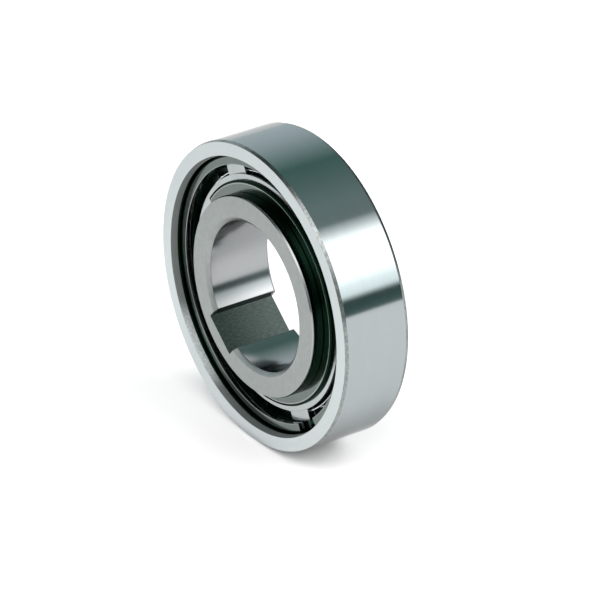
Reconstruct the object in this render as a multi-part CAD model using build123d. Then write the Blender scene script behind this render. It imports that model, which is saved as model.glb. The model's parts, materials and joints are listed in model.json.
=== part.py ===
from build123d import *
from math import asin, cos, degrees, radians, sin, sqrt
import os

# One-way sprag clutch of the bearing envelope 35 x 72 x 17.
# It stands on its rim: the axis is Y, the front face looks to -Y and +Z is up.
# The origin is the centre of the bore at mid width.
# Angles are seen from the front, from +X towards +Z. Lengths are millimetres.
# Axial sizes are half lengths from the middle of the width, the same front and rear.

# ---- Rings ----
bore_diameter = 35.0
hub_wall = 5.9            # bore to the outside of the hub
track_rise = 1.2          # the sprag track stands above the hub
race_gap = 7.4            # radial room between the inner track and the outer race
outer_wall = 4.0          # outer race to rim: makes the outside diameter 72
ring_width = 17.0
rim_chamfer = 0.8         # length of the lead-in along the rim
rim_chamfer_fall = 0.32   # fall of the lead-in on the radius
bore_chamfer = 0.8        # length of the flare along the bore
bore_chamfer_flare = 0.95 # rise of the flare on the radius
hub_chamfer = 0.55
hub_chamfer_fall = 0.2

# ---- Keyway in the bore ----
key_width = 10.0
key_depth = 2.4           # bore surface to keyway floor
key_angle = -130.15

# ---- Mouth of the outer ring ----
mouth_depth = 1.7         # length of the tapered mouth
mouth_taper = 0.33        # the mouth opens by this much on the radius
mouth_step = 0.2          # the land behind the mouth is this much wider than the race
mouth_land = 0.6          # land between the mouth and the groove

# ---- Internal retaining ring, in the bore of the outer ring ----
bore_ring_thickness = 1.4
bore_ring_reach = 2.1     # it stands this far inside the race
bore_ring_seat = 1.2      # it sits this deep in its groove
bore_ring_face = 1.7      # flat part of its front, before the bevel
bore_ring_bevel = 0.45    # axial fall of the bevel
bore_ring_gap_from = -61.0
bore_ring_gap_to = -48.2

# ---- External retaining ring, on the hub ----
hub_ring_thickness = 0.75
hub_ring_rise = 2.7       # it stands this far above the hub
hub_ring_seat = 0.8       # it sits this deep in its groove
hub_ring_bevel = 0.6      # radial width of the bevelled rim
hub_ring_edge = 0.55      # thickness left at the bevelled rim
hub_ring_gap_from = 145.3
hub_ring_gap_to = 163.0

# ---- Side disc and cage plate ----
disc_thickness = 0.55
disc_rise = 4.0           # the disc stands this far above the hub
plate_thickness = 0.55
plate_inset = 0.25        # the plate is this much smaller than the disc
lug_count = 2
lug_angle = 116.0         # middle of the first lug
lug_width = 7.2
rear_turn = 180.0         # the rear retaining rings are fitted this much further round

# ---- Cages ----
cage_thickness = 0.7
cage_offset = 1.1         # each cage stands this far off its race
cage_rail = 0.45          # rim left beside the windows

# ---- Sprags ----
sprag_count = 18
sprag_angle = -39.0       # middle of the first sprag
sprag_half_width = 2.6    # at the shoulders
sprag_waist = 1.9         # half width at the waist
sprag_offset = 0.35       # sideways offset of each cam centre, which makes it wedge
sprag_corner = 0.35
cam_radius = 3.4

# ---- Ribbon spring ----
ribbon_thickness = 0.2
ribbon_inset = 0.3        # the ribbon runs this far inside the sprag pivots
tongue_lift = 0.65        # rise of each tongue from its root to its tip
tongue_length = 3.5
tongue_rail = 0.4         # ribbon left beside each tongue

# ---- Clearances ----
slide_fit = 0.05          # discs and plates on the hub
seat_play = 0.03          # pieces that lie face to face
groove_play = 0.1         # retaining rings in their grooves
bore_ring_gap = 0.65      # between the bore rings and the lugs behind them
lug_gap = 0.45            # between the lug tips and the outer race
end_play = 0.15           # sprags between the window ends
cam_play = 0.035          # between a sprag at rest and each race
window_play = 0.5         # window beside a sprag, with room for it to tilt
lug_play = 0.15           # lugs in the notches of the outer cage

# ---- Sizes that follow ----
ring_half = ring_width / 2
bore_radius = bore_diameter / 2
hub_radius = bore_radius + hub_wall
track_radius = hub_radius + track_rise
race_radius = track_radius + race_gap
rim_radius = race_radius + outer_wall
pivot_radius = (track_radius + race_radius) / 2

land_end = ring_half - mouth_depth
bore_groove_front = land_end - mouth_land
bore_ring_front = bore_groove_front - groove_play
bore_ring_back = bore_ring_front - bore_ring_thickness
bore_groove_back = bore_ring_back - groove_play

plate_front = bore_ring_back - bore_ring_gap
plate_back = plate_front - plate_thickness
disc_back = plate_front + seat_play
disc_front = disc_back + disc_thickness
hub_ring_back = disc_front + seat_play
hub_ring_front = hub_ring_back + hub_ring_thickness
shoulder = plate_back - seat_play
cage_half = plate_back - seat_play
window_half = cage_half - cage_rail
sprag_half = window_half - end_play

disc_radius = hub_radius + disc_rise
seat_radius = hub_radius + slide_fit
lug_radius = race_radius - lug_gap
bore_ring_inner = race_radius - bore_ring_reach
bore_ring_outer = race_radius + bore_ring_seat
bore_ring_shoulder = bore_ring_inner + bore_ring_face
hub_ring_inner = hub_radius - hub_ring_seat
hub_ring_outer = hub_radius + hub_ring_rise
outer_cage_radius = race_radius - cage_offset
inner_cage_radius = track_radius + cage_offset
ribbon_radius = pivot_radius - ribbon_inset


def turned(corners):
    """Ring turned about the clutch axis from its (radius, offset) corners."""
    return revolve(make_face(Polyline(*corners, close=True)), Axis.Y)


def turned_even(corners):
    """Turned ring whose rear half is the mirror of the corners given."""
    rear = [(radius, -offset) for radius, offset in reversed(corners)]
    return turned(corners + rear)


def placed(shape, angle):
    """Turn a shape made at the top of the clutch round to an angle."""
    return Rot(0, 90 - angle, 0) * shape


def extruded(face_edges, half_length):
    """Prism along the clutch axis from edges drawn at the top of the clutch."""
    return extrude(Plane.XZ * make_face(face_edges), half_length, both=True)


def sector(start, end):
    """Wedge from the axis outwards between two angles, through the whole width."""
    reach = 2 * rim_radius
    corners = [(0, 0)]
    corners += [(reach * cos(radians(a)), reach * sin(radians(a))) for a in (start, end)]
    return extruded(Polyline(*corners, close=True), ring_width)


def pocket(left, right, radius, half_length):
    """Cutter through a thin ring at the top, between two tangential places."""
    cutter = Box(right - left, 2 * half_length, 2 * cage_offset)
    return Pos((left + right) / 2, 0, radius) * cutter


def sprag_angles():
    return [sprag_angle + 360 * k / sprag_count for k in range(sprag_count)]


def outer_ring():
    """Plain outer race with a tapered mouth and a retaining groove at each side."""
    groove_radius = bore_ring_outer + groove_play
    mouth_radius = race_radius + mouth_step
    return turned_even([
        (race_radius, bore_groove_back),
        (groove_radius, bore_groove_back),
        (groove_radius, bore_groove_front),
        (mouth_radius, bore_groove_front),
        (mouth_radius, land_end),
        (mouth_radius + mouth_taper, ring_half),
        (rim_radius - rim_chamfer_fall, ring_half),
        (rim_radius, ring_half - rim_chamfer),
    ])


def inner_ring():
    """Hub with bore and keyway, a raised sprag track and a ring groove at each side."""
    groove_radius = hub_ring_inner - groove_play
    ring = turned_even([
        (bore_radius, ring_half - bore_chamfer),
        (bore_radius + bore_chamfer_flare, ring_half),
        (hub_radius - hub_chamfer_fall, ring_half),
        (hub_radius, ring_half - hub_chamfer),
        (hub_radius, hub_ring_front + groove_play),
        (groove_radius, hub_ring_front + groove_play),
        (groove_radius, disc_front - groove_play),
        (hub_radius, disc_front - groove_play),
        (hub_radius, shoulder),
        (track_radius, shoulder),
    ])
    floor_radius = bore_radius + key_depth
    keyway = Pos(0, 0, floor_radius / 2) * Box(key_width, 2 * ring_width, floor_radius)
    return ring - placed(keyway, key_angle)


def bore_ring():
    """Bevelled internal retaining ring, open at its gap."""
    ring = turned([
        (bore_ring_inner, -bore_ring_back),
        (bore_ring_inner, -bore_ring_front),
        (bore_ring_shoulder, -bore_ring_front),
        (bore_ring_outer, bore_ring_bevel - bore_ring_front),
        (bore_ring_outer, -bore_ring_back),
    ])
    return ring - sector(bore_ring_gap_from, bore_ring_gap_to)


def hub_ring():
    """Bevelled external retaining ring on the hub, open at its gap."""
    ring = turned([
        (hub_ring_inner, -hub_ring_back),
        (hub_ring_inner, -hub_ring_front),
        (hub_ring_outer - hub_ring_bevel, -hub_ring_front),
        (hub_ring_outer, -hub_ring_back - hub_ring_edge),
        (hub_ring_outer, -hub_ring_back),
    ])
    return ring - sector(hub_ring_gap_from, hub_ring_gap_to)


def side_disc():
    """Flat polished disc that closes the sprag space on the hub side."""
    return turned([
        (seat_radius, -disc_back),
        (seat_radius, -disc_front),
        (disc_radius, -disc_front),
        (disc_radius, -disc_back),
    ])


def lug(reach, width, back, front):
    """One lug at the top, from inside the disc out to its reach."""
    root = disc_radius - plate_thickness
    block = Box(width, front - back, reach - root)
    return Pos(0, -(front + back) / 2, (reach + root) / 2) * block


def lug_angles():
    return [lug_angle + 360 * k / lug_count for k in range(lug_count)]


def cage_plate():
    """Sheet plate behind the side disc, with lugs that key the outer cage."""
    plate = turned([
        (seat_radius, -plate_back),
        (seat_radius, -plate_front),
        (disc_radius - plate_inset, -plate_front),
        (disc_radius - plate_inset, -plate_back),
    ])
    for angle in lug_angles():
        plate += placed(lug(lug_radius, lug_width, plate_back, plate_front), angle)
    return plate


def cage(inner_radius, half_length):
    """Thin cage ring with one window for each sprag."""
    ring = turned_even([
        (inner_radius, half_length),
        (inner_radius + cage_thickness, half_length),
    ])
    half_window = sprag_half_width + window_play
    middle = inner_radius + cage_thickness / 2
    cutter = pocket(-half_window, half_window, middle, window_half)
    for angle in sprag_angles():
        ring -= placed(cutter, angle)
    return ring


def outer_cage():
    """Outer cage: its rims reach past the plates and are notched for the lugs."""
    ring = cage(outer_cage_radius - cage_thickness, plate_front)
    notch_width = lug_width + 2 * lug_play
    notch = lug(race_radius, notch_width, cage_half, plate_front + seat_play)
    for angle in lug_angles():
        for side in (notch, mirror(notch, Plane.XZ)):
            ring -= placed(side, angle)
    return ring


def inner_cage():
    """Inner cage, held between the two plates."""
    return cage(inner_cage_radius, cage_half)


def tongue():
    """Spring tongue at the top, rising from the ribbon to the waist of its sprag."""
    tip_side = sprag_waist + window_play / 2
    root_side = tip_side + tongue_length + ribbon_thickness
    half = ribbon_thickness / 2
    tip_radius = ribbon_radius + tongue_lift
    corners = []
    for side, radius in (
        (root_side, ribbon_radius - half),
        (root_side, ribbon_radius + half),
        (tip_side, tip_radius + half),
        (tip_side, tip_radius - half),
    ):
        turn = asin(side / radius)
        corners.append((radius * sin(turn), radius * cos(turn)))
    return extruded(Polyline(*corners, close=True), cage_half - tongue_rail)


def ribbon_spring():
    """Thin spring strip through the sprag waists, with one tongue for each sprag."""
    half = ribbon_thickness / 2
    ring = turned_even([
        (ribbon_radius - half, cage_half),
        (ribbon_radius + half, cage_half),
    ])
    near = sprag_waist + window_play / 2
    cutter = pocket(-near, near + tongue_length, ribbon_radius, window_half)
    leaf = tongue()
    for angle in sprag_angles():
        ring -= placed(cutter, angle)
    for angle in sprag_angles():
        ring += placed(leaf, angle)
    return ring


def sprag():
    """Sprag at the top: two cam arcs with their centres offset, and a hollow waist."""
    outer_reach = race_radius - cam_play - cam_radius
    inner_reach = track_radius + cam_play + cam_radius
    outer_centre = sqrt(outer_reach**2 - sprag_offset**2)
    inner_centre = sqrt(inner_reach**2 - sprag_offset**2)

    def cam_point(side, centre, direction):
        rise = sqrt(cam_radius**2 - (side - direction * sprag_offset)**2)
        return (side, centre + direction * rise)

    wide = sprag_half_width
    top = [cam_point(side, outer_centre, 1) for side in (-wide, sprag_offset, wide)]
    bottom = [cam_point(side, inner_centre, -1) for side in (wide, -sprag_offset, -wide)]
    outline = [
        ThreePointArc(*top),
        ThreePointArc(top[2], (sprag_waist, pivot_radius), bottom[0]),
        ThreePointArc(*bottom),
        ThreePointArc(bottom[2], (-sprag_waist, pivot_radius), top[0]),
    ]
    face = make_face(outline)
    face = fillet(face.vertices(), sprag_corner)
    return extrude(Plane.XZ * face, sprag_half, both=True)


def rear(shape, turn=0.0):
    """The same piece at the rear side, turned further round if need be."""
    return Rot(0, -turn, 0) * mirror(shape, Plane.XZ)


pieces = {
    "outer_ring": outer_ring(),
    "inner_ring": inner_ring(),
    "front_bore_ring": bore_ring(),
    "rear_bore_ring": rear(bore_ring(), rear_turn),
    "front_hub_ring": hub_ring(),
    "rear_hub_ring": rear(hub_ring(), rear_turn),
    "front_side_disc": side_disc(),
    "rear_side_disc": rear(side_disc()),
    "front_cage_plate": cage_plate(),
    "rear_cage_plate": rear(cage_plate()),
    "outer_cage": outer_cage(),
    "inner_cage": inner_cage(),
    "ribbon_spring": ribbon_spring(),
}
for number, angle in enumerate(sprag_angles(), start=1):
    pieces[f"sprag_{number:02d}"] = placed(sprag(), angle)

os.makedirs("parts", exist_ok=True)
for name, shape in pieces.items():
    export_step(shape, f"parts/{name}.step")
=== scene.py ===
import json
import math

import bmesh
import bpy
from mathutils import Matrix, Vector


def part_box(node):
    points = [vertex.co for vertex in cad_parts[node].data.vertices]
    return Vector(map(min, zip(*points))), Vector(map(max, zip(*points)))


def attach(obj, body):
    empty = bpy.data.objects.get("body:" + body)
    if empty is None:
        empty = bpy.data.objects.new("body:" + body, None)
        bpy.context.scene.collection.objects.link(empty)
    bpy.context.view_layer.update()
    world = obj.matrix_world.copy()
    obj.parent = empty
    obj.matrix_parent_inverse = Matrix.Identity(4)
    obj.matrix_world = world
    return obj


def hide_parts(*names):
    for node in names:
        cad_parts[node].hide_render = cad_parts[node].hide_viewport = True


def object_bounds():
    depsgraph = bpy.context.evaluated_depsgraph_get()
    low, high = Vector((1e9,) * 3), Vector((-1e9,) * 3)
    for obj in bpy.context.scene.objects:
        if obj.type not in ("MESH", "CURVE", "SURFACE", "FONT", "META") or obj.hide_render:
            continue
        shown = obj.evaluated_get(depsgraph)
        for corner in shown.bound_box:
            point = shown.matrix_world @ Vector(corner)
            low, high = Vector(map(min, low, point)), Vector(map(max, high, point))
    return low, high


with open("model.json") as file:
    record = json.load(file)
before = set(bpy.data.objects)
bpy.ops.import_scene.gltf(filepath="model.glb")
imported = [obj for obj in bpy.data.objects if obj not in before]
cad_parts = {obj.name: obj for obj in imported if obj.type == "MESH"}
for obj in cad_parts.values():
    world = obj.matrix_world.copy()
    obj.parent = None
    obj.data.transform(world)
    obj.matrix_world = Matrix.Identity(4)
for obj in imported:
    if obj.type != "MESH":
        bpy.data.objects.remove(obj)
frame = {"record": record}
cad_low, cad_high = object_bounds()

# Angles are in degrees, seen from the front, from +X towards +Z. Lengths are millimetres
# unless a name says otherwise, and become metres where a mesh is made.
# Axial places are offsets from the middle of the width; the front is negative.
MM = 0.001

# ---- Camera ----
CAMERA_AZIMUTH = 55.21
CAMERA_ELEVATION = 27.93
CAMERA_DISTANCE = 1.08437     # metres
CAMERA_LENS = 291.98
CAMERA_SHIFT = (0.02805, -0.02128)
CAMERA_CLIP = (0.05, 200.0)   # metres


def mount(name):
    """A mount of the frame's record."""
    return next(m for m in frame["record"]["mounts"] if m["name"] == name)


def reach(node):
    """Radius of a CAD node's outside, in millimetres."""
    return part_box(node)[1].x / MM


def offsets(node):
    """Front and rear axial places of a CAD node, in millimetres."""
    low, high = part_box(node)
    return low.y / MM, high.y / MM


# ---- Sizes taken from the frame ----
RIM_RADIUS = reach("outer_ring")
RING_HALF = offsets("outer_ring")[1]
BORE_RADIUS = mount("bore")["dims"]["r_mm"]
TRACK_RADIUS = reach("inner_ring")
DISC_RADIUS = reach("front_side_disc")
DISC_FRONT, DISC_BACK = (-y for y in offsets("front_side_disc"))
PLATE_FRONT, PLATE_BACK = (-y for y in offsets("front_cage_plate"))
BORE_RING_RADIUS = reach("front_bore_ring")
BORE_RING_FRONT, BORE_RING_BACK = (-y for y in offsets("front_bore_ring"))
HUB_RING_RADIUS = reach("front_hub_ring")
HUB_RING_FRONT, HUB_RING_BACK = (-y for y in offsets("front_hub_ring"))
OUTER_CAGE_HALF = offsets("outer_cage")[1]
INNER_CAGE_HALF = offsets("inner_cage")[1]
SPRAG_HALF = offsets("sprag_01")[1]

# ---- Rings ----
HUB_RADIUS = 23.4
RACE_RADIUS = 32.0
RIM_CHAMFER = 0.8
RIM_CHAMFER_FALL = 0.32
BORE_CHAMFER = 0.8
BORE_CHAMFER_FLARE = 0.95
HUB_CHAMFER = 0.55
HUB_CHAMFER_FALL = 0.2
MOUTH_DEPTH = 1.7
MOUTH_TAPER = 0.33
MOUTH_STEP = 0.2
GROOVE_PLAY = 0.1
SEAT_PLAY = 0.03

# ---- Keyway ----
KEY_WIDTH = 10.0
KEY_FLOOR = 19.9
KEY_ANGLE = -130.15

# ---- Retaining rings ----
BORE_RING_INNER = 29.9
BORE_RING_FACE = 1.7
BORE_RING_BEVEL = 0.45
BORE_RING_GAP = (-61.0, -48.2)
HUB_RING_INNER = 22.6
HUB_RING_BEVEL = 0.6
HUB_RING_EDGE = 0.55
HUB_RING_GAP = (145.3, 163.0)
REAR_TURN = 180.0

# ---- Discs and plates ----
SEAT_RADIUS = 23.45
PLATE_INSET = 0.25
LUG_ANGLES = (116.0, -64.0)
LUG_WIDTH = 7.2
LUG_RADIUS = 31.55
LUG_PLAY = 0.15
NOTCH_SPARE = 1.5             # how far a notch's cutter stands out of the sheet

# ---- Cages, spring and sprags ----
CAGE_THICKNESS = 0.7
OUTER_CAGE_INNER = 30.2
INNER_CAGE_INNER = 25.7
WINDOW_HALF_WIDTH = 3.1
WINDOW_HALF_LENGTH = 3.02
RIBBON_RADIUS = 27.9
RIBBON_THICKNESS = 0.2
TONGUE_TIP = 2.15
TONGUE_ROOT = 5.65
TONGUE_LIFT = 0.62
TONGUE_HALF = 2.8
TONGUE_BENDS = (2.8, 3.5, 4.2, 4.9)
TONGUE_CURVE = 1.3
SPRAG_COUNT = 18
SPRAG_ANGLE = -39.0
SPRAG_SHOULDER = 2.6
SPRAG_WAIST = 1.9
SPRAG_OFFSET = 0.35
CAM_RADIUS = 3.4
CAM_PLAY = 0.035

# ---- Meshes ----
RING_STEPS = 240
KEY_STEPS = 9
LUG_STEPS = 5
SHEET_STEP = 0.9
DOUBLE = 1e-7                 # metres, corners closer than this are one
JOINT = 1e-6                  # metres, pitches of a cage closer than this join up
CREASE = 10.0                 # edges sharper than this are rounded
EDGE_SEGMENTS = 2
EDGE_ROUND = 0.09
BORE_RING_ROUND = 0.12
SHEET_ROUND = 0.05
RIBBON_ROUND = 0.02
SPRAG_ROUND = 0.2


# ======================= node trees =======================

class Value:
    """An output socket of a node tree. Arithmetic on it adds Math nodes to the tree."""

    def __init__(self, tree, socket):
        self.tree = tree
        self.socket = socket

    def math(self, operation, *others):
        inputs = dict(enumerate((self, *others)))
        return self.tree.add("ShaderNodeMath", {"operation": operation}, inputs)

    def swapped(self, operation, first):
        return self.tree.add("ShaderNodeMath", {"operation": operation}, {0: first, 1: self})

    def __add__(self, other):
        return self.math("ADD", other)

    __radd__ = __add__

    def __sub__(self, other):
        return self.math("SUBTRACT", other)

    def __rsub__(self, other):
        return self.swapped("SUBTRACT", other)

    def __mul__(self, other):
        return self.math("MULTIPLY", other)

    __rmul__ = __mul__

    def __truediv__(self, other):
        return self.math("DIVIDE", other)

    def __rtruediv__(self, other):
        return self.swapped("DIVIDE", other)

    def __pow__(self, other):
        return self.math("POWER", other)

    def __neg__(self):
        return self.math("MULTIPLY", -1.0)

    def __abs__(self):
        return self.math("ABSOLUTE")


class Tree:
    """A node tree that is written as expressions."""

    def __init__(self, nodes_and_links):
        self.nodes = nodes_and_links.nodes
        self.links = nodes_and_links.links

    def add(self, kind, settings=None, inputs=None, output=0):
        """A node: its settings first, then the values or links of its sockets."""
        node = self.nodes.new(kind)
        for name, setting in (settings or {}).items():
            if name == "stops":
                self.set_stops(node.color_ramp, setting)
            else:
                setattr(node, name, setting)
        for key, value in (inputs or {}).items():
            if isinstance(value, Value):
                self.links.new(value.socket, node.inputs[key])
            else:
                node.inputs[key].default_value = value
        return Value(self, node.outputs[output]) if node.outputs else node

    @staticmethod
    def set_stops(ramp, stops):
        while len(ramp.elements) < len(stops):
            ramp.elements.new(1.0)
        for element, (position, colour) in zip(ramp.elements, stops):
            element.position = position
            element.color = (*colour, 1.0)

    def mix(self, factor, first, second):
        """Colour between two colours."""
        return self.add("ShaderNodeMix", {"data_type": "RGBA"},
                        {0: factor, 6: first, 7: second}, 2)

    def blend(self, factor, first, second):
        """Number between two numbers."""
        return self.add("ShaderNodeMix", {"data_type": "FLOAT"},
                        {0: factor, 2: first, 3: second})

    def smooth(self, value, low, high):
        """0 below low, 1 above high, and a soft step between."""
        return self.add("ShaderNodeMapRange", {"interpolation_type": "SMOOTHSTEP"},
                        {"Value": value, "From Min": low, "From Max": high})

    def split(self, vector):
        """The x, y and z of a vector."""
        parts = self.add("ShaderNodeSeparateXYZ", None, {0: vector}).socket.node.outputs
        return [Value(self, part) for part in parts]

    def vector(self, x, y, z):
        return self.add("ShaderNodeCombineXYZ", None, {0: x, 1: y, 2: z})

    def noise(self, place, scale, detail=2.0, roughness=0.5):
        """Number between 0 and 1 that wanders over the place."""
        return self.add("ShaderNodeTexNoise", None,
                        {"Vector": place, "Scale": scale, "Detail": detail,
                         "Roughness": roughness}, "Fac")


def cleared_tree(owner):
    """The emptied node tree of a material or world."""
    owner.use_nodes = True
    owner.node_tree.nodes.clear()
    return Tree(owner.node_tree)


def placed(name, data):
    """Object of the scene that shows the data."""
    thing = bpy.data.objects.new(name, data)
    bpy.context.scene.collection.objects.link(thing)
    return thing


# ======================= finishes =======================

EDGE_TONE = 0.6               # metal seen edge on, beside a mirror
AXIS_GUARD = 1e-6             # metres, keeps a division sound on the axis

# Tints of the metals, as shares of a grey level in red, green and blue.
COOL = (0.94, 1.0, 1.01)
GROUND = (0.925, 1.0, 1.02)
GREEN = (0.72, 1.0, 0.88)
TURNED = (0.94, 1.0, 0.98)
# Tint of painted shade: the grooves, the keyway walls, the hub rings' rims and the cages are
# painted near black with it.
PAINTED_SHADE_TINT = (0.20, 1.0, 0.50)
OILED = (0.86, 1.0, 0.95)
HUB_WALL_TINT = (0.34, 1.0, 0.62)
PALE = (0.975, 1.0, 1.01)

# Where one finish, painted highlight or painted shade fades into the next: start and end,
# radii or offsets in millimetres.
FACE_EDGE = (RING_HALF - 0.06, RING_HALF - 0.02)
OUTER_RING_WALL = (33.6, 33.7)
OUTER_GROOVE = (4.3, 4.4)
MOUTH_EDGE = (RING_HALF - MOUTH_DEPTH, RING_HALF - MOUTH_DEPTH + 0.05)
HUB_WALL = (23.25, 23.3)
HUB_WALL_END = (RING_HALF - HUB_CHAMFER - 0.06, RING_HALF - HUB_CHAMFER + 0.02)
KEY_BOTTOM = (KEY_FLOOR - 0.10, KEY_FLOOR - 0.04)
KEY_SIDE = (KEY_WIDTH / 2 + 0.04, KEY_WIDTH / 2 + 0.10)
KEY_OUTSIDE = (21.0, 21.4)
KEY_WALL = (17.55, 17.6)
KEY_WALL_END = (7.6, 7.7)
HUB_RING_CORNER = HUB_RING_RADIUS - HUB_RING_BEVEL
EDGE_HIGHLIGHT_START = (HUB_RING_CORNER - 0.25, HUB_RING_CORNER - 0.12)
EDGE_HIGHLIGHT_END = (HUB_RING_CORNER + 0.02, HUB_RING_CORNER + 0.06)
HUB_RIM_SHADE_START = (HUB_RING_CORNER, HUB_RING_CORNER + 0.08)
BETWEEN_RINGS = (BORE_RING_INNER - 0.9, BORE_RING_INNER - 0.8)
INNER_EDGE_HIGHLIGHT_START = (BORE_RING_INNER - 0.5, BORE_RING_INNER - 0.4)
INNER_EDGE_HIGHLIGHT_END = (BORE_RING_INNER + 0.1, BORE_RING_INNER + 0.2)
BORE_RING_CORNER = BORE_RING_INNER + BORE_RING_FACE
BORE_RING_RIM = (BORE_RING_CORNER, BORE_RING_CORNER + 0.08)
CHAMFER_EDGE = (0.90, 0.97)   # parts of the way out to the chamfer's own slope

# Painted marks round the axis, a highlight and a shade: middle in degrees, then the
# cosines from it where the mark starts and is full.
# A painted highlight on both mouths of the outer ring, broken up by speckle.
PAINTED_MOUTH_HIGHLIGHT = (225.0, 0.935, 0.99)
# A painted shade: a band of the bore, darker towards the front.
PAINTED_BORE_SHADE = (205.0, 0.985, 0.993)


def grey(level, tint):
    """Colour of a grey level with a tint."""
    return tuple(level * part for part in tint) + (1.0,)


class Finish:
    """A metal finish being written: its material, its tree and the place on the piece."""

    def __init__(self, name):
        self.material = bpy.data.materials.new(name)
        self.tree = cleared_tree(self.material)
        self.place = self.tree.add("ShaderNodeTexCoord", None, None, "Object")
        self.x, self.y, self.z = self.tree.split(self.place)
        self.radius = (self.x * self.x + self.z * self.z) ** 0.5

    def turned(self, around, across):
        """Place stretched along the turning of a ring: changes slowly round, fast across."""
        divisor = self.radius + AXIS_GUARD
        depth = (self.radius + self.y) * (across / MM)
        return self.tree.vector(self.x / divisor * around, depth, self.z / divisor * around)

    def past(self, length, start, end):
        """0 where a length is under start, 1 where it is over end."""
        return self.tree.smooth(length, start * MM, end * MM)

    def beyond(self, start, end):
        """0 inside the start radius and 1 outside the end radius."""
        return self.past(self.radius, start, end)

    def outboard(self, start, end):
        """0 nearer the middle of the width than start and 1 nearer the ends than end."""
        return self.past(abs(self.y), start, end)

    def along(self, angle):
        """How far a place lies out in the direction of an angle, in metres."""
        turn = math.radians(angle)
        return self.x * math.cos(turn) + self.z * math.sin(turn)

    def mark(self, angle, start, full):
        """1 on a mark that is centred on an angle, 0 away from it."""
        return self.tree.smooth(self.along(angle) / (self.radius + AXIS_GUARD), start, full)

    def shade(self, factor, dark, light, tint):
        """Tone between two levels of one tint."""
        return self.tree.mix(factor, grey(dark, tint), grey(light, tint))

    def surface(self, base, roughness, height, strength, distance):
        """Closes the finish with a metal shader that the height roughens."""
        bump = self.tree.add("ShaderNodeBump", None, {
            "Height": height, "Strength": strength, "Distance": distance * MM})
        shader = self.tree.add("ShaderNodeBsdfPrincipled", None, {
            "Base Color": base, "Metallic": 1.0, "Roughness": roughness,
            "Specular Tint": (EDGE_TONE, EDGE_TONE, EDGE_TONE, 1.0), "Normal": bump})
        self.tree.add("ShaderNodeOutputMaterial", None, {"Surface": shader})
        return self.material


def chamfer_mask(finish, radius, fall, length, outward=1.0):
    """1 on the chamfer of a ring's corner, 0 elsewhere."""
    across = (finish.radius - (radius - outward * fall) * MM) * (outward / (fall * MM))
    along = (abs(finish.y) - (RING_HALF - length) * MM) / (length * MM)
    return finish.tree.smooth(across + along, *CHAMFER_EDGE)


def outer_ring_finish():
    """Ground outside and race, bright ground faces, duller turned chamfers and mouths,
    grooves painted near black as shade, and a painted highlight on the mouths near one angle."""
    finish = Finish("outer_ring_steel")
    tree = finish.tree
    fine = tree.noise(finish.turned(5.0, 7.0), 1.0, 3.0)
    broad = tree.noise(finish.turned(1.5, 0.5), 1.0)
    speck = tree.noise(finish.place, 1600.0)
    pits = tree.smooth(tree.noise(finish.place, 1300.0, 3.0, 0.7), 0.38, 0.62)
    cloud = tree.noise(finish.place, 60.0, 3.0)

    face = finish.outboard(*FACE_EDGE)
    chamfer = chamfer_mask(finish, RIM_RADIUS, RIM_CHAMFER_FALL, RIM_CHAMFER)
    inner = (1.0 - finish.beyond(*OUTER_RING_WALL)) * (1.0 - face)
    mouth = inner * finish.outboard(*MOUTH_EDGE)
    # Painted shade: the grooves and the bore beside them out to the mouths are painted near
    # black.
    groove = inner * finish.outboard(*OUTER_GROOVE) * (1.0 - mouth)
    # Painted highlight on the mouths near one angle, broken up by speckle.
    mouth_highlight = finish.mark(*PAINTED_MOUTH_HIGHLIGHT) * (0.3 + speck * 0.95)

    ground = finish.shade(fine * 0.6 + broad * 0.4, 0.33, 0.39, GROUND)
    flat_ground = finish.shade(fine * 0.5 + speck * 0.5, 0.45, 0.53, COOL)
    rough_turned = finish.shade(pits, 0.20, 0.31, TURNED)
    mouth_tone = finish.shade(fine, 0.26, 0.38, TURNED)
    mouth_tone = tree.mix(mouth_highlight, mouth_tone, grey(0.85, PALE))
    tone = tree.mix(groove, tree.mix(mouth, ground, mouth_tone), grey(0.04, PAINTED_SHADE_TINT))
    tone = tree.mix(chamfer, tree.mix(face, tone, flat_ground), rough_turned)

    rough = tree.blend(face, 0.045 + fine * 0.05 + cloud * 0.04, 0.38 + speck * 0.1)
    rough = tree.blend(mouth, tree.blend(chamfer, rough, 0.26), 0.62)
    return finish.surface(tone, rough, tree.blend(chamfer, fine, speck), 0.2, 0.01)


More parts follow.
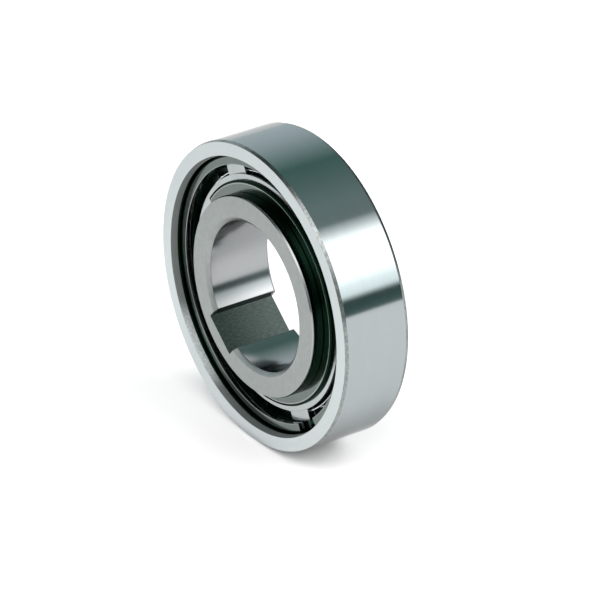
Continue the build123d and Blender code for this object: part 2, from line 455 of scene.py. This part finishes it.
def inner_ring_finish():
    """Fine ground bore, grey turned faces, and a keyway left rougher by the broach."""
    finish = Finish("inner_ring_steel")
    tree = finish.tree
    depth = finish.along(KEY_ANGLE)
    side = abs(finish.along(KEY_ANGLE - 90.0))
    lit = tree.smooth(finish.y, -RING_HALF * MM, RING_HALF * MM)
    fine = tree.noise(finish.turned(4.0, 6.0), 1.0, 3.0)
    mottle = tree.noise(finish.place, 700.0, 3.0, 0.6)
    cloud = tree.noise(finish.place, 90.0)
    broach = tree.noise(tree.vector(side * 2600.0, finish.y * 900.0, 0.0), 1.0, 3.0, 0.65)

    face = finish.outboard(*FACE_EDGE)
    chamfer = chamfer_mask(finish, BORE_RADIUS, BORE_CHAMFER_FLARE, BORE_CHAMFER, -1.0)
    in_floor = finish.past(depth, *KEY_BOTTOM)
    beside = finish.past(side, *KEY_SIDE)
    inside = 1.0 - finish.beyond(*KEY_OUTSIDE)
    key = in_floor * (1.0 - beside) * inside * (1.0 - face)
    shaded_key_walls = (1.0 - in_floor) * finish.beyond(*KEY_WALL) * inside
    shaded_key_walls = shaded_key_walls * (1.0 - finish.outboard(*KEY_WALL_END))
    hub_wall = finish.beyond(*HUB_WALL) * (1.0 - finish.outboard(*HUB_WALL_END))

    bore_tone = finish.shade(fine, 0.30, 0.35, PALE)
    # Painted shade: a band of the bore near one angle is darker, most at the front.
    bore_tone = tree.mix(finish.mark(*PAINTED_BORE_SHADE), bore_tone, finish.shade(lit, 0.17, 0.29, PALE))
    # Painted shade: the keyway floor is dark green at the front and lighter towards the rear;
    # the broach streaks run through both.
    key_tone = tree.mix(lit * 0.45, finish.shade(broach, 0.015, 0.115, GREEN),
                        finish.shade(broach, 0.10, 0.34, OILED))
    tone = tree.mix(key, bore_tone, key_tone)
    tone = tree.mix(face, tone, finish.shade(mottle, 0.24, 0.32, TURNED))
    tone = tree.mix(chamfer, tone, finish.shade(mottle, 0.20, 0.29, TURNED))
    # The hub's outside wall in front of the rings is painted near black green.
    tone = tree.mix(hub_wall, tone, grey(0.055, HUB_WALL_TINT))
    # Painted shade: the keyway's walls are painted near black.
    tone = tree.mix(shaded_key_walls, tone, grey(0.012, PAINTED_SHADE_TINT))

    rough = tree.blend(face, tree.blend(key, 0.15 + fine * 0.05, 0.38), 0.36 + cloud * 0.12)
    rough = tree.blend(chamfer, rough, 0.34)
    height = tree.blend(face, tree.blend(key, fine * 0.4, broach * 1.6), mottle)
    return finish.surface(tone, rough, height, 0.3, 0.015)


def disc_finish():
    """Bright rolled sheet with a light tumbled polish."""
    finish = Finish("disc_steel")
    fine = finish.tree.noise(finish.turned(3.0, 5.0), 1.0)
    cloud = finish.tree.noise(finish.place, 200.0, 3.0)
    tone = finish.shade(cloud, 0.34, 0.42, COOL)
    return finish.surface(tone, 0.12 + cloud * 0.1, fine, 0.2, 0.01)


def retaining_finish():
    """Dark phosphated spring steel, oiled, with painted highlights along its edges and painted
    shade on its bevels. The hub rings lie inside the bore rings, so one finish tells them apart
    by radius."""
    finish = Finish("retaining_steel")
    tree = finish.tree
    fine = tree.noise(finish.turned(6.0, 5.0), 1.0, 3.0)
    grain = tree.noise(finish.place, 2500.0)
    cloud = tree.noise(finish.place, 120.0, 3.0)

    painted_rim_shade = finish.beyond(*HUB_RIM_SHADE_START) * (1.0 - finish.beyond(*BETWEEN_RINGS))
    bevel = finish.beyond(*BORE_RING_RIM)
    painted_edge_highlight = finish.beyond(*EDGE_HIGHLIGHT_START) * (1.0 - finish.beyond(*EDGE_HIGHLIGHT_END))
    inner = finish.beyond(*INNER_EDGE_HIGHLIGHT_START) * (1.0 - finish.beyond(*INNER_EDGE_HIGHLIGHT_END))

    tone = finish.shade(cloud * 0.7 + fine * 0.3, 0.125, 0.175, OILED)
    # Painted shade: the hub rings' bevels are painted near black, out towards the bore rings.
    tone = tree.mix(painted_rim_shade, tone, grey(0.012, PAINTED_SHADE_TINT))
    # Painted shade: the bore rings' bevels by the grooves are painted dark green.
    tone = tree.mix(bevel, tone, grey(0.10, GREEN))
    # Painted highlight: a light line along the hub rings' front outer edges.
    tone = tree.mix(painted_edge_highlight, tone, grey(0.3, TURNED))
    # Painted highlight: a light line along the bore rings' inner edges.
    tone = tree.mix(inner, tone, grey(0.27, TURNED))
    return finish.surface(tone, 0.10 + grain * 0.08, grain, 0.12, 0.01)


def cage_finish():
    """Oiled sheet painted near black, as painted shade in the recess between the races."""
    finish = Finish("cage_steel")
    fine = finish.tree.noise(finish.turned(3.0, 4.0), 1.0, 3.0)
    cloud = finish.tree.noise(finish.place, 150.0, 3.0)
    # Painted shade: the cages are painted near black.
    tone = finish.shade(cloud, 0.02, 0.09, PAINTED_SHADE_TINT)
    return finish.surface(tone, 0.34 + cloud * 0.14, fine, 0.2, 0.01)


def spring_finish():
    """Bright spring strip with rolling marks."""
    finish = Finish("spring_steel")
    fine = finish.tree.noise(finish.turned(2.0, 8.0), 1.0)
    cloud = finish.tree.noise(finish.place, 300.0)
    tone = finish.shade(fine, 0.62, 0.76, COOL)
    return finish.surface(tone, 0.16 + cloud * 0.1, fine, 0.2, 0.005)


def sprag_finish():
    """Hardened steel, drawn lines along the sprag, painted near black as shade in the recess.
    """
    finish = Finish("sprag_steel")
    tree = finish.tree
    drawn = tree.noise(tree.vector(finish.x * 4000.0, finish.y * 200.0, finish.z * 4000.0), 1.0)
    cloud = tree.noise(finish.place, 400.0)
    # Painted shade: the sprags are painted near black.
    tone = finish.shade(cloud, 0.03, 0.07, GREEN)
    return finish.surface(tone, 0.2 + drawn * 0.12, drawn, 0.2, 0.01)


# Keyed by slot, because a material may get another name beside the frame's own.
FINISHES = {
    "outer_ring_steel": outer_ring_finish(),
    "inner_ring_steel": inner_ring_finish(),
    "disc_steel": disc_finish(),
    "retaining_steel": retaining_finish(),
    "cage_steel": cage_finish(),
    "spring_steel": spring_finish(),
    "sprag_steel": sprag_finish(),
}


# ======================= meshes =======================

def polar(radius, offset, angle):
    """Point from its radius and axial place in millimetres and its angle in degrees."""
    turn = math.radians(angle)
    return Vector((radius * math.cos(turn), offset, radius * math.sin(turn))) * MM


def skin(name, columns, closed=True):
    """Closed ring, or ring open at a gap, over columns of points that all have one outline."""
    mesh = bmesh.new()
    rows = [[mesh.verts.new(point) for point in column] for column in columns]
    count, corners = len(rows), len(rows[0])
    for c in range(count if closed else count - 1):
        here, there = rows[c], rows[(c + 1) % count]
        for i in range(corners):
            k = (i + 1) % corners
            mesh.faces.new((here[i], here[k], there[k], there[i]))
    if not closed:
        mesh.faces.new(rows[0])
        mesh.faces.new(rows[-1])
    return made(name, mesh)


def made(name, mesh):
    """Object from a bmesh, its doubles merged and its faces outward."""
    bmesh.ops.remove_doubles(mesh, verts=mesh.verts, dist=DOUBLE)
    bmesh.ops.recalc_face_normals(mesh, faces=mesh.faces)
    data = bpy.data.meshes.new(name)
    mesh.to_mesh(data)
    mesh.free()
    data.shade_smooth()
    return placed(name, data)


def evaluated(piece):
    """Replaces a piece's mesh by what its modifiers make of it, and removes them."""
    depsgraph = bpy.context.evaluated_depsgraph_get()
    result = bpy.data.meshes.new_from_object(piece.evaluated_get(depsgraph))
    piece.modifiers.clear()
    drawn = piece.data
    piece.data = result
    bpy.data.meshes.remove(drawn)
    result.name = piece.name
    return piece


def rounded(piece, width=EDGE_ROUND):
    """Breaks a piece's edges and keeps its flat and turned faces true."""
    bevel = piece.modifiers.new("edges", "BEVEL")
    bevel.width = width * MM
    bevel.segments = EDGE_SEGMENTS
    bevel.limit_method = "ANGLE"
    bevel.angle_limit = math.radians(CREASE)
    shading = piece.modifiers.new("shading", "WEIGHTED_NORMAL")
    shading.keep_sharp = False
    return evaluated(piece)


def dress(piece, slot, body, *nodes):
    """Gives a piece its finish, its body and the CAD nodes it stands for."""
    piece.data.materials.clear()
    piece.data.materials.append(FINISHES[slot])
    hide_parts(*nodes)
    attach(piece, body)


def evenly(start, end, count, last=True):
    """Numbers from start to end in equal steps, with or without the last."""
    steps = count - 1 if last else count
    return [start + (end - start) * k / steps for k in range(count)]


def turned(name, corners, gap=None):
    """Ring turned about the clutch axis from its (radius, offset) corners."""
    if gap:
        angles = evenly(gap[1], gap[0] + 360.0, RING_STEPS)
    else:
        angles = evenly(0.0, 360.0, RING_STEPS, last=False)
    columns = [[polar(r, y, a) for r, y in corners] for a in angles]
    return skin(name, columns, closed=not gap)


def mirrored(corners):
    """Outline whose front half is the mirror of the rear corners given."""
    return corners + [(r, -y) for r, y in reversed(corners)]


def half_angle(half_width, radius):
    """Angle at which a wall parallel to a radius meets a circle."""
    return math.degrees(math.asin(half_width / radius))


def outer_ring():
    """Outer race with its two grooves and tapered mouths."""
    groove = BORE_RING_RADIUS + GROOVE_PLAY
    mouth = RACE_RADIUS + MOUTH_STEP
    land = RING_HALF - MOUTH_DEPTH
    front = BORE_RING_FRONT + GROOVE_PLAY
    back = BORE_RING_BACK - GROOVE_PLAY
    return turned("outer_ring_turned", mirrored([
        (RACE_RADIUS, back),
        (groove, back),
        (groove, front),
        (mouth, front),
        (mouth, land),
        (mouth + MOUTH_TAPER, RING_HALF),
        (RIM_RADIUS - RIM_CHAMFER_FALL, RING_HALF),
        (RIM_RADIUS, RING_HALF - RIM_CHAMFER),
    ]))


def inner_ring():
    """Hub whose bore outline follows the keyway's walls and floor."""
    half_key = KEY_WIDTH / 2
    groove = HUB_RING_INNER - GROOVE_PLAY
    shoulder = PLATE_BACK - SEAT_PLAY
    outside = mirrored([
        (HUB_RADIUS - HUB_CHAMFER_FALL, RING_HALF),
        (HUB_RADIUS, RING_HALF - HUB_CHAMFER),
        (HUB_RADIUS, HUB_RING_FRONT + GROOVE_PLAY),
        (groove, HUB_RING_FRONT + GROOVE_PLAY),
        (groove, DISC_FRONT - GROOVE_PLAY),
        (HUB_RADIUS, DISC_FRONT - GROOVE_PLAY),
        (HUB_RADIUS, shoulder),
        (TRACK_RADIUS, shoulder),
    ])
    wide = BORE_RADIUS + BORE_CHAMFER_FLARE
    land = RING_HALF - BORE_CHAMFER
    inside = [(wide, -RING_HALF), (BORE_RADIUS, -land), (BORE_RADIUS, land), (wide, RING_HALF)]
    floor_turn = math.degrees(math.atan(half_key / KEY_FLOOR))
    edge_turn = half_angle(half_key, BORE_RADIUS)

    def column(turn, inner):
        points = [polar(r, y, KEY_ANGLE + turn) for r, y in outside]
        return points + [polar(r, y, KEY_ANGLE + t) for r, y, t in inner]

    def floor(turn):
        radius = KEY_FLOOR / math.cos(math.radians(turn))
        return column(turn, [(radius, y, turn) for _, y in inside])

    def wall(side):
        inner = [(r, y, side * half_angle(half_key, r)) for r, y in inside]
        return column(side * edge_turn, inner)

    columns = [floor(t) for t in evenly(-floor_turn, floor_turn, KEY_STEPS)]
    columns.append(wall(1))
    steps = evenly(edge_turn, 360.0 - edge_turn, RING_STEPS)[1:-1]
    columns += [column(t, [(r, y, t) for r, y in inside]) for t in steps]
    columns.append(wall(-1))
    return skin("inner_ring_turned", columns)


def facing(corners, side):
    """The same outline at the front (side -1) or the rear (side 1)."""
    return [(r, side * y) for r, y in corners]


def bore_ring(name, side, gap):
    """Open retaining ring in the outer ring's groove."""
    return turned(name, facing([
        (BORE_RING_INNER, BORE_RING_BACK),
        (BORE_RING_INNER, BORE_RING_FRONT),
        (BORE_RING_CORNER, BORE_RING_FRONT),
        (BORE_RING_RADIUS, BORE_RING_FRONT - BORE_RING_BEVEL),
        (BORE_RING_RADIUS, BORE_RING_BACK),
    ], side), gap)


def hub_ring(name, side, gap):
    """Open retaining ring in the hub's groove."""
    return turned(name, facing([
        (HUB_RING_INNER, HUB_RING_BACK),
        (HUB_RING_INNER, HUB_RING_FRONT),
        (HUB_RING_CORNER, HUB_RING_FRONT),
        (HUB_RING_RADIUS, HUB_RING_BACK + HUB_RING_EDGE),
        (HUB_RING_RADIUS, HUB_RING_BACK),
    ], side), gap)


def side_disc(name, side):
    """Plain sheet washer between a hub ring and a cage plate."""
    return turned(name, facing([
        (SEAT_RADIUS, DISC_BACK),
        (SEAT_RADIUS, DISC_FRONT),
        (DISC_RADIUS, DISC_FRONT),
        (DISC_RADIUS, DISC_BACK),
    ], side))


def cage_plate(name, side):
    """Sheet plate whose outline runs out round its two lugs."""
    half_lug = LUG_WIDTH / 2
    rim = DISC_RADIUS - PLATE_INSET
    tip_turn = math.degrees(math.atan(half_lug / LUG_RADIUS))
    root_turn = half_angle(half_lug, rim)

    def column(angle, radius):
        outline = [(SEAT_RADIUS, PLATE_BACK), (SEAT_RADIUS, PLATE_FRONT),
                   (radius, PLATE_FRONT), (radius, PLATE_BACK)]
        return [polar(r, side * y, angle) for r, y in outline]

    columns = []
    for lug in LUG_ANGLES:
        columns.append(column(lug - root_turn, rim))
        for turn in evenly(-tip_turn, tip_turn, LUG_STEPS):
            columns.append(column(lug + turn, LUG_RADIUS / math.cos(math.radians(turn))))
        between = evenly(lug + root_turn, lug + 180.0 - root_turn, RING_STEPS // 2)
        columns += [column(angle, rim) for angle in between[:-1]]
    return skin(name, columns)


# ======================= what repeats =======================

def new_group(name, sizes):
    """Geometry tree with a geometry and named inputs. Returns its data, tree and inputs."""
    data = bpy.data.node_groups.new(name, "GeometryNodeTree")
    sockets = [("Geometry", "OUTPUT", "Geometry"), ("Geometry", "INPUT", "Geometry")]
    sockets += [(size, "INPUT", kind) for size, kind in sizes.items()]
    for label, way, kind in sockets:
        data.interface.new_socket(name=label, in_out=way, socket_type="NodeSocket" + kind)
    tree = Tree(data)
    entry = data.nodes.new("NodeGroupInput")
    inputs = {socket.name: Value(tree, socket) for socket in entry.outputs if socket.name}
    return data, tree, inputs


def close_group(tree, geometry, material):
    """Ends a tree in Realize Instances and Set Material."""
    real = tree.add("GeometryNodeRealizeInstances", None, {"Geometry": geometry})
    finished = tree.add("GeometryNodeSetMaterial", None,
                        {"Geometry": real, "Material": material})
    tree.add("NodeGroupOutput", None, {0: finished})


def repeat_group():
    """Repeats the piece's own mesh evenly round the clutch axis and joins it up."""
    data, tree, given = new_group("repeat_round_axis", {
        "Count": "Int", "Joint": "Float", "Material": "Material"})
    index = tree.add("GeometryNodeInputIndex")
    turn = index * (2 * math.pi) / given["Count"]
    points = tree.add("GeometryNodePoints", None, {"Count": given["Count"]})
    copies = tree.add("GeometryNodeInstanceOnPoints", None,
                      {"Points": points, "Instance": given["Geometry"],
                       "Rotation": tree.vector(0.0, turn, 0.0)})
    real = tree.add("GeometryNodeRealizeInstances", None, {"Geometry": copies})
    joined = tree.add("GeometryNodeMergeByDistance", None,
                      {"Geometry": real, "Distance": given["Joint"]})
    close_group(tree, joined, given["Material"])
    return data


def sprag_group():
    """One sprag: a block whose top and bottom are cam arcs and whose sides are hollow."""
    data, tree, given = new_group("sprag_block", {
        "Turn": "Float", "Inner race": "Float", "Outer race": "Float", "Cam radius": "Float",
        "Cam offset": "Float", "Shoulder": "Float", "Waist": "Float", "Length": "Float",
        "Material": "Material"})
    block = tree.add("GeometryNodeMeshCube", None, {
        "Size": (2.0, 1.0, 2.0), "Vertices X": 11, "Vertices Y": 2, "Vertices Z": 9})
    across, along, up = tree.split(tree.add("GeometryNodeInputPosition"))
    cam, offset = given["Cam radius"], given["Cam offset"]
    hollow = given["Shoulder"] - given["Waist"]
    side = across * (given["Waist"] + hollow * up * up)

    def arc(centre_reach, direction):
        centre = (centre_reach * centre_reach - offset * offset) ** 0.5
        lean = side - offset * direction
        return centre + (cam * cam - lean * lean) ** 0.5 * direction

    top = arc(given["Outer race"] - cam, 1.0)
    bottom = arc(given["Inner race"] + cam, -1.0)
    height = tree.blend(up * 0.5 + 0.5, bottom, top)
    place = tree.vector(side, along * given["Length"], height)
    shaped = tree.add("GeometryNodeSetPosition", None, {"Geometry": block, "Position": place})
    in_place = tree.add("GeometryNodeTransform", None, {
        "Geometry": shaped, "Rotation": tree.vector(0.0, given["Turn"], 0.0)})
    close_group(tree, in_place, given["Material"])
    return data


def run_group(piece, data, values):
    """Gives a piece a geometry tree, with its inputs set by their identifiers."""
    modifier = piece.modifiers.new(data.name, "NODES")
    modifier.node_group = data
    for socket in data.interface.items_tree:
        if socket.in_out == "INPUT" and socket.name in values:
            modifier[socket.identifier] = values[socket.name]


def cell(name, radius, sides, rows, kept, lift=None):
    """One pitch of a cage or ribbon as an open sheet at the first sprag. sides are
    tangential places and rows axial ones, kept says which panels stay, and lift how far
    a place is bent outwards."""
    mesh = bmesh.new()
    corners = {}

    def corner(i, j):
        if (i, j) not in corners:
            raised = radius + (lift(sides[i], rows[j]) if lift else 0.0)
            angle = 90.0 - math.degrees(sides[i] / radius)
            corners[i, j] = mesh.verts.new(polar(raised, rows[j], angle))
        return corners[i, j]

    for i in range(len(sides) - 1):
        for j in range(len(rows) - 1):
            if kept((sides[i] + sides[i + 1]) / 2, (rows[j] + rows[j + 1]) / 2):
                mesh.faces.new((corner(i, j), corner(i + 1, j),
                                corner(i + 1, j + 1), corner(i, j + 1)))
    piece = made(name, mesh)      # at the top of the clutch so far
    piece.data.transform(Matrix.Rotation(math.radians(90.0 - SPRAG_ANGLE), 4, "Y"))
    return piece


def pitch_sides(radius, *marks):
    """Tangential places that cross one pitch, through the marks, in short steps."""
    half = math.pi * radius / SPRAG_COUNT
    ends = sorted({-half, half, *marks})
    sides = []
    for low, high in zip(ends, ends[1:]):
        steps = max(1, round((high - low) / SHEET_STEP))
        sides += evenly(low, high, steps, last=False)
    return sides + [half]


def repeated(piece, slot, thickness):
    """Repeats a sheet cell round the axis and gives it its thickness outwards."""
    run_group(piece, REPEAT, {
        "Count": SPRAG_COUNT, "Joint": JOINT, "Material": FINISHES[slot]})
    sheet = piece.modifiers.new("sheet", "SOLIDIFY")
    sheet.thickness = thickness * MM
    sheet.offset = 1.0
    sheet.use_even_offset = True
    return evaluated(piece)


def cage(name, inner_radius, half):
    """Sheet cylinder with a window for each sprag."""
    def kept(side, row):
        return abs(side) > WINDOW_HALF_WIDTH or abs(row) > WINDOW_HALF_LENGTH

    sides = pitch_sides(inner_radius, -WINDOW_HALF_WIDTH, WINDOW_HALF_WIDTH)
    rows = [-half, -WINDOW_HALF_LENGTH, 0.0, WINDOW_HALF_LENGTH, half]
    return repeated(cell(name, inner_radius, sides, rows, kept), "cage_steel", CAGE_THICKNESS)


def ribbon_spring():
    """Strip with a tongue in each window that rises to its tip at the sprag's waist."""
    def in_window(side, row):
        return -TONGUE_TIP < side < TONGUE_ROOT and abs(row) < WINDOW_HALF_LENGTH

    def kept(side, row):
        return not in_window(side, row) or (side > TONGUE_TIP and abs(row) < TONGUE_HALF)

    def lift(side, row):
        if not TONGUE_TIP <= side < TONGUE_ROOT or abs(row) > TONGUE_HALF:
            return 0.0
        return TONGUE_LIFT * ((TONGUE_ROOT - side) / (TONGUE_ROOT - TONGUE_TIP)) ** TONGUE_CURVE

    half = INNER_CAGE_HALF
    sides = pitch_sides(RIBBON_RADIUS, -TONGUE_TIP, TONGUE_TIP, *TONGUE_BENDS, TONGUE_ROOT)
    rows = [-half, -WINDOW_HALF_LENGTH, -TONGUE_HALF, TONGUE_HALF, WINDOW_HALF_LENGTH, half]
    piece = cell("ribbon_spring_sheet", RIBBON_RADIUS, sides, rows, kept, lift)
    return repeated(piece, "spring_steel", RIBBON_THICKNESS)


def notched(piece):
    """Cuts the outer cage's rims away where the plates' lugs pass."""
    low, high = PLATE_BACK - SEAT_PLAY, PLATE_FRONT + NOTCH_SPARE
    inner, outer = OUTER_CAGE_INNER - NOTCH_SPARE, RACE_RADIUS
    size = Matrix.Diagonal((outer - inner, high - low, LUG_WIDTH + 2 * LUG_PLAY, 1.0))
    middle = Vector(((inner + outer) / 2, (low + high) / 2, 0.0))
    mesh = bmesh.new()
    for lug in LUG_ANGLES:
        for side in (-1, 1):
            turn = Matrix.Rotation(math.radians(-lug), 4, "Y")
            shift = Matrix.Translation(middle * Vector((1, side, 1)))
            place = Matrix.Scale(MM, 4) @ turn @ shift @ size
            bmesh.ops.create_cube(mesh, size=1.0, matrix=place)
    cutter = made("lug_notches", mesh)
    cut = piece.modifiers.new("notches", "BOOLEAN")
    cut.operation = "DIFFERENCE"
    cut.solver = "EXACT"
    cut.object = cutter
    evaluated(piece)
    bpy.data.objects.remove(cutter)
    return piece


REPEAT = repeat_group()
SPRAG = sprag_group()


def sprag(number):
    """One sprag between the races, on its own body."""
    angle = SPRAG_ANGLE + 360.0 * (number - 1) / SPRAG_COUNT
    name = f"sprag_{number:02d}"
    piece = placed(name + "_drawn", bpy.data.meshes.new(name))
    run_group(piece, SPRAG, {
        "Turn": math.radians(90.0 - angle),
        "Inner race": (TRACK_RADIUS + CAM_PLAY) * MM,
        "Outer race": (RACE_RADIUS - CAM_PLAY) * MM,
        "Cam radius": CAM_RADIUS * MM,
        "Cam offset": SPRAG_OFFSET * MM,
        "Shoulder": SPRAG_SHOULDER * MM,
        "Waist": SPRAG_WAIST * MM,
        "Length": 2 * SPRAG_HALF * MM,
        "Material": FINISHES["sprag_steel"],
    })
    evaluated(piece)
    piece.data.shade_smooth()
    rounded(piece, SPRAG_ROUND)
    dress(piece, "sprag_steel", name, name)


def build():
    """Makes every piece and puts it on its body."""
    dress(rounded(outer_ring()), "outer_ring_steel", "outer_race", "outer_ring")
    dress(rounded(inner_ring()), "inner_ring_steel", "inner_race", "inner_ring")
    for place, side, turn in (("front", -1, 0.0), ("rear", 1, REAR_TURN)):
        gap = [angle + turn for angle in BORE_RING_GAP]
        ring = rounded(bore_ring(f"{place}_bore_ring_turned", side, gap), BORE_RING_ROUND)
        dress(ring, "retaining_steel", "outer_race", f"{place}_bore_ring")
        gap = [angle + turn for angle in HUB_RING_GAP]
        ring = rounded(hub_ring(f"{place}_hub_ring_turned", side, gap), SHEET_ROUND)
        dress(ring, "retaining_steel", "inner_race", f"{place}_hub_ring")
        disc = side_disc(f"{place}_side_disc_pressed", side)
        dress(rounded(disc, SHEET_ROUND), "disc_steel", "inner_race", f"{place}_side_disc")
        plate = cage_plate(f"{place}_cage_plate_pressed", side)
        dress(rounded(plate, SHEET_ROUND), "disc_steel", "inner_race", f"{place}_cage_plate")
    outer = notched(cage("outer_cage_pressed", OUTER_CAGE_INNER, OUTER_CAGE_HALF))
    dress(rounded(outer, SHEET_ROUND), "cage_steel", "inner_race", "outer_cage")
    inner = cage("inner_cage_pressed", INNER_CAGE_INNER, INNER_CAGE_HALF)
    dress(rounded(inner, SHEET_ROUND), "cage_steel", "inner_race", "inner_cage")
    ribbon = rounded(ribbon_spring(), RIBBON_ROUND)
    dress(ribbon, "spring_steel", "inner_race", "ribbon_spring")
    for number in range(1, SPRAG_COUNT + 1):
        sprag(number)


# ======================= studio =======================

FLOOR_REACH = 40.0            # metres
FLOOR_RIGHT = 1.45            # metres, where the floor ends at the bright panel
FLOOR_TONES = ((0.82, 0.80, 0.795, 1.0), (0.83, 0.81, 0.805, 1.0))
FLOOR_GRAIN = 12.0

# Lights: name, strength, spread in degrees, direction towards the light.
LIGHTS = [
    ("dome_light", 0.75, 165.0, (0.0, 0.0, 1.0)),
    ("key_light", 1.45, 36.0, (0.42, 0.62, 0.66)),
    ("fill_light", 0.9, 36.0, (0.15, -0.55, 0.82)),
]

CARD_WIDTH, CARD_DEPTH = 0.12, 0.06      # metres
CARD_PLACE = (-0.04, -0.0395, cad_low.z + 0.0005)
CARD_STRENGTH = 0.5


def studio_camera():
    """Camera at its angle and distance from the middle of the clutch."""
    azimuth, elevation = math.radians(CAMERA_AZIMUTH), math.radians(CAMERA_ELEVATION)
    back = Vector((math.sin(azimuth) * math.cos(elevation),
                   -math.cos(azimuth) * math.cos(elevation),
                   math.sin(elevation)))
    data = bpy.data.cameras.new("studio_camera")
    data.lens = CAMERA_LENS
    data.shift_x, data.shift_y = CAMERA_SHIFT
    data.clip_start, data.clip_end = CAMERA_CLIP
    camera = placed("studio_camera", data)
    camera.location = back * CAMERA_DISTANCE
    camera.rotation_mode = "QUATERNION"
    camera.rotation_quaternion = (-back).to_track_quat("-Z", "Y")
    bpy.context.scene.camera = camera


def studio_floor():
    """Plain pale floor that ends at the right, so that the metal sees the dark below it."""
    left, right = -FLOOR_REACH, FLOOR_RIGHT
    near, far = -FLOOR_REACH, FLOOR_REACH
    corners = [(left, near), (right, near), (right, far), (left, far)]
    data = bpy.data.meshes.new("studio_floor")
    data.from_pydata([(x, y, cad_low.z) for x, y in corners], [], [(0, 1, 2, 3)])
    material = bpy.data.materials.new("pale_floor")
    tree = cleared_tree(material)
    place = tree.add("ShaderNodeTexCoord", None, None, "Object")
    tone = tree.mix(tree.noise(place, FLOOR_GRAIN), *FLOOR_TONES)
    shader = tree.add("ShaderNodeBsdfPrincipled", None, {
        "Base Color": tone, "Roughness": 1.0, "Specular IOR Level": 0.0})
    tree.add("ShaderNodeOutputMaterial", None, {"Surface": shader})
    data.materials.append(material)
    placed("studio_floor", data)


# Stops of the studio's tone round the clutch axis, from the right horizon over the top
# to the left horizon: place, then colour. The first run is behind the clutch, where the
# outside and the bore look; the second is in front of it.
STUDIO_TONES = [
    (0.0, (0.036, 0.062, 0.060)),
    (0.030, (0.022, 0.044, 0.041)),
    (0.050, (0.014, 0.030, 0.027)),
    (0.057, (0.14, 0.17, 0.16)),
    (0.073, (0.56, 0.61, 0.61)),
    (0.105, (0.66, 0.70, 0.70)),
    (0.145, (0.95, 0.97, 0.97)),
    (0.175, (1.1, 1.1, 1.1)),
    (0.275, (1.1, 1.1, 1.1)),
    (0.325, (0.44, 0.46, 0.46)),
    (0.362, (0.095, 0.120, 0.118)),
    (0.450, (0.086, 0.118, 0.115)),
    (0.560, (0.055, 0.090, 0.084)),
    (0.650, (0.036, 0.076, 0.067)),
    (0.720, (0.100, 0.140, 0.138)),
    (0.820, (0.205, 0.243, 0.248)),
    (0.900, (0.272, 0.314, 0.326)),
    (1.0, (0.330, 0.375, 0.388)),
]
FRONT_TONES = [
    (0.0, (0.06, 0.07, 0.07)),
    (0.150, (0.20, 0.21, 0.21)),
    (0.230, (0.50, 0.51, 0.51)),
    (0.300, (0.85, 0.85, 0.85)),
    (0.390, (0.75, 0.75, 0.75)),
    (0.460, (0.42, 0.42, 0.42)),
    (0.540, (0.03, 0.04, 0.04)),
    (0.750, (0.02, 0.03, 0.03)),
    (0.840, (0.26, 0.29, 0.30)),
    (1.0, (0.31, 0.35, 0.36)),
]
STUDIO_STRENGTH = 3.45
HIGH_FRONT_TONE = (0.42, 0.44, 0.44, 1.0)
BACK_TONE = (0.05, 0.06, 0.06, 1.0)
BACKDROP_TONE = (1.5, 1.5, 1.5, 1.0)

# Where one tone of the studio fades into the next, as parts of a unit direction.
FRONT_EDGE = (-0.30, -0.05)
HIGH_FRONT_EDGE = (0.56, 0.70)
HIGH_FRONT_RISE = (0.25, 0.45)
BACK_EDGE = (0.66, 0.82)


def studio_world():
    """Soft studio round the object: a bright panel at the right, a dark ceiling, and a
    plain backdrop where a camera looks past the floor."""
    world = bpy.data.worlds.new("studio")
    tree = cleared_tree(world)
    x, y, z = tree.split(tree.add("ShaderNodeTexCoord", None, None, "Generated"))
    round_axis = z.math("ARCTAN2", x) / math.pi
    tones = tree.add("ShaderNodeValToRGB", {"stops": STUDIO_TONES}, {0: round_axis})
    front_tones = tree.add("ShaderNodeValToRGB", {"stops": FRONT_TONES}, {0: round_axis})
    high_front = tree.smooth(-y, *HIGH_FRONT_EDGE) * tree.smooth(z, *HIGH_FRONT_RISE)
    tone = tree.mix(tree.smooth(-y, *FRONT_EDGE), tones, front_tones)
    tone = tree.mix(high_front, tone, HIGH_FRONT_TONE)
    tone = tree.mix(tree.smooth(y, *BACK_EDGE), tone, BACK_TONE)
    shine = tree.add("ShaderNodeBackground", None, {"Color": tone, "Strength": STUDIO_STRENGTH})
    plain = tree.add("ShaderNodeBackground", None, {"Color": BACKDROP_TONE, "Strength": 1.0})
    seen = tree.add("ShaderNodeLightPath", None, None, "Is Camera Ray")
    mixed = tree.add("ShaderNodeMixShader", None, {0: seen, 1: shine, 2: plain})
    tree.add("ShaderNodeOutputWorld", None, {"Surface": mixed})
    bpy.context.scene.world = world


def studio_light(name, strength, spread, towards):
    """Wide even light from a direction. Metals see the studio itself, not the light."""
    data = bpy.data.lights.new(name, "SUN")
    data.energy = strength
    data.angle = math.radians(spread)
    light = placed(name, data)
    light.visible_glossy = False
    light.rotation_mode = "QUATERNION"
    light.rotation_quaternion = Vector(towards).to_track_quat("Z", "Y")


def reflector_card():
    """Pale card on the floor before the front of the clutch, seen only by its metal."""
    data = bpy.data.lights.new("reflector_card", "AREA")
    data.shape = "RECTANGLE"
    data.size, data.size_y = CARD_WIDTH, CARD_DEPTH
    data.energy = CARD_STRENGTH * CARD_WIDTH * CARD_DEPTH * math.pi
    card = placed("reflector_card", data)
    card.location = CARD_PLACE
    card.rotation_euler = (math.pi, 0.0, 0.0)     # a new area light shines down
    card.visible_camera = False
    card.visible_diffuse = False


studio_camera()
studio_floor()
reflector_card()
studio_world()
for light in LIGHTS:
    studio_light(*light)
build()
bpy.context.scene.view_settings.view_transform = "Standard"
bpy.context.view_layer.update()
